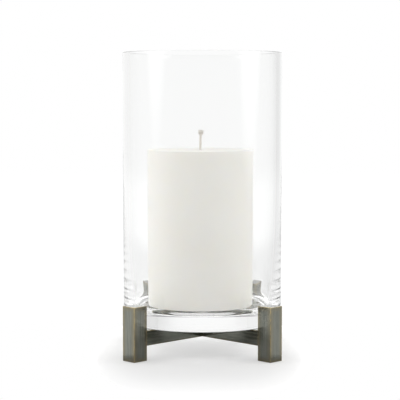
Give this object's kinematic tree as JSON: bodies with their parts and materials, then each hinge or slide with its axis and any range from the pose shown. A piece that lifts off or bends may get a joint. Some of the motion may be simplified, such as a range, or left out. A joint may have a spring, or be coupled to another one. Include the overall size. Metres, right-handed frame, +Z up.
{
  "type": "hurricane candle lantern",
  "caption": "Clear glass hurricane with a heavy floor, standing on a dark bronze half-lapped cross between square posts, with a white pillar candle inside.",
  "frame": {"origin": "on the table, under the middle of the cross and the glass's axis", "axes": "+Z up along the glass's axis, -Y towards the front, with two posts at the front and two behind"},
  "size_m": [0.1524, 0.1524, 0.2865],
  "materials": {
    "bronze": "dark antiqued bronze patina, brushed along the piece, brassy where the edges are worn",
    "steel": "plain zinc-plated steel",
    "felt": "black pressed felt",
    "clear_rubber": "clear soft polyurethane",
    "clear_glass": "clear, cut and polished flat rim, heavy floor",
    "wax": "ivory-white moulded paraffin wax, satin, slightly translucent",
    "cotton": "waxed braided cotton, unlit",
    "tinplate": "thin bright tinplate"
  },
  "bodies": {
    "base": {"lower_cross_bar": "bronze", "upper_cross_bar": "bronze", "lap_screw": "steel", "post_front_left": "bronze", "post_front_right": "bronze", "post_rear_left": "bronze", "post_rear_right": "bronze", "stud_front_left": "steel", "stud_front_right": "steel", "stud_rear_left": "steel", "stud_rear_right": "steel", "foot_pad_front_left": "felt", "foot_pad_front_right": "felt", "foot_pad_rear_left": "felt", "foot_pad_rear_right": "felt", "glass_bumper_front_left": "clear_rubber", "glass_bumper_front_right": "clear_rubber", "glass_bumper_rear_left": "clear_rubber", "glass_bumper_rear_right": "clear_rubber"},
    "glass": {"glass_cylinder": "clear_glass"},
    "candle": {"pillar_candle": "wax", "wick": "cotton", "wick_tab": "tinplate"}
  },
  "joints": [
    {"name": "glass_lift", "type": "slide", "parent": "base", "child": "glass", "axis": [0, 0, 1], "range_m": [0, 0.06]},
    {"name": "candle_lift", "type": "slide", "parent": "glass", "child": "candle", "axis": [0, 0, 1], "range_m": [0, 0.25]}
  ]
}
